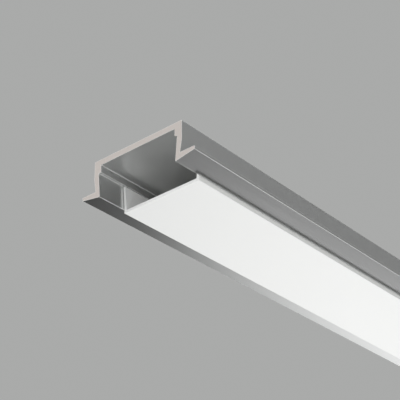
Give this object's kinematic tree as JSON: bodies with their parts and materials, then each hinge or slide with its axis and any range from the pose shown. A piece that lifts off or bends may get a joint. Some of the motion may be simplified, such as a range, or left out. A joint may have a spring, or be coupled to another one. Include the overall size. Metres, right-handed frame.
{
  "type": "recessed light strip profile",
  "caption": "Recessed aluminium profile with thin flanges for a light strip, with a slide-in opal cover and the strip inside.",
  "frame": {"origin": "under the middle of the profile's length and width, at the height of the cover's lower face", "axes": "+Y along the profile, away from the end where the cover is set back; +Z from the channel's mouth towards the web; +X across the profile"},
  "size_m": [0.0362, 0.2, 0.0117],
  "materials": {
    "anodised_aluminium": "satin clear anodised, with a plain saw cut at each end",
    "opal_cover": "smooth opal white, lets light through",
    "tape": "matt",
    "white_board": "white solder mask, satin",
    "tinned_copper": "tinned, satin",
    "led_housing": "satin",
    "phosphor": "soft glossy yellow silicone",
    "resistor": "matt black"
  },
  "bodies": {
    "profile": {"aluminium_profile": "anodised_aluminium", "adhesive_tape": "tape", "strip_board": "white_board", "solder_pads": "tinned_copper", "led_body_1": "led_housing", "led_body_2": "led_housing", "led_body_3": "led_housing", "led_body_4": "led_housing", "led_body_5": "led_housing", "led_body_6": "led_housing", "led_body_7": "led_housing", "led_body_8": "led_housing", "led_body_9": "led_housing", "led_body_10": "led_housing", "led_body_11": "led_housing", "led_body_12": "led_housing", "led_body_13": "led_housing", "led_body_14": "led_housing", "led_body_15": "led_housing", "led_body_16": "led_housing", "led_body_17": "led_housing", "led_body_18": "led_housing", "led_phosphor_1": "phosphor", "led_phosphor_2": "phosphor", "led_phosphor_3": "phosphor", "led_phosphor_4": "phosphor", "led_phosphor_5": "phosphor", "led_phosphor_6": "phosphor", "led_phosphor_7": "phosphor", "led_phosphor_8": "phosphor", "led_phosphor_9": "phosphor", "led_phosphor_10": "phosphor", "led_phosphor_11": "phosphor", "led_phosphor_12": "phosphor", "led_phosphor_13": "phosphor", "led_phosphor_14": "phosphor", "led_phosphor_15": "phosphor", "led_phosphor_16": "phosphor", "led_phosphor_17": "phosphor", "led_phosphor_18": "phosphor", "resistor_1": "resistor", "resistor_2": "resistor", "resistor_3": "resistor", "resistor_4": "resistor", "resistor_5": "resistor", "resistor_6": "resistor"},
    "cover": {"diffuser_cover": "opal_cover"}
  },
  "joints": [
    {"name": "cover_slide", "type": "slide", "parent": "profile", "child": "cover", "axis": [0, 1, 0], "range_m": [-0.18, 0.1714]}
  ]
}
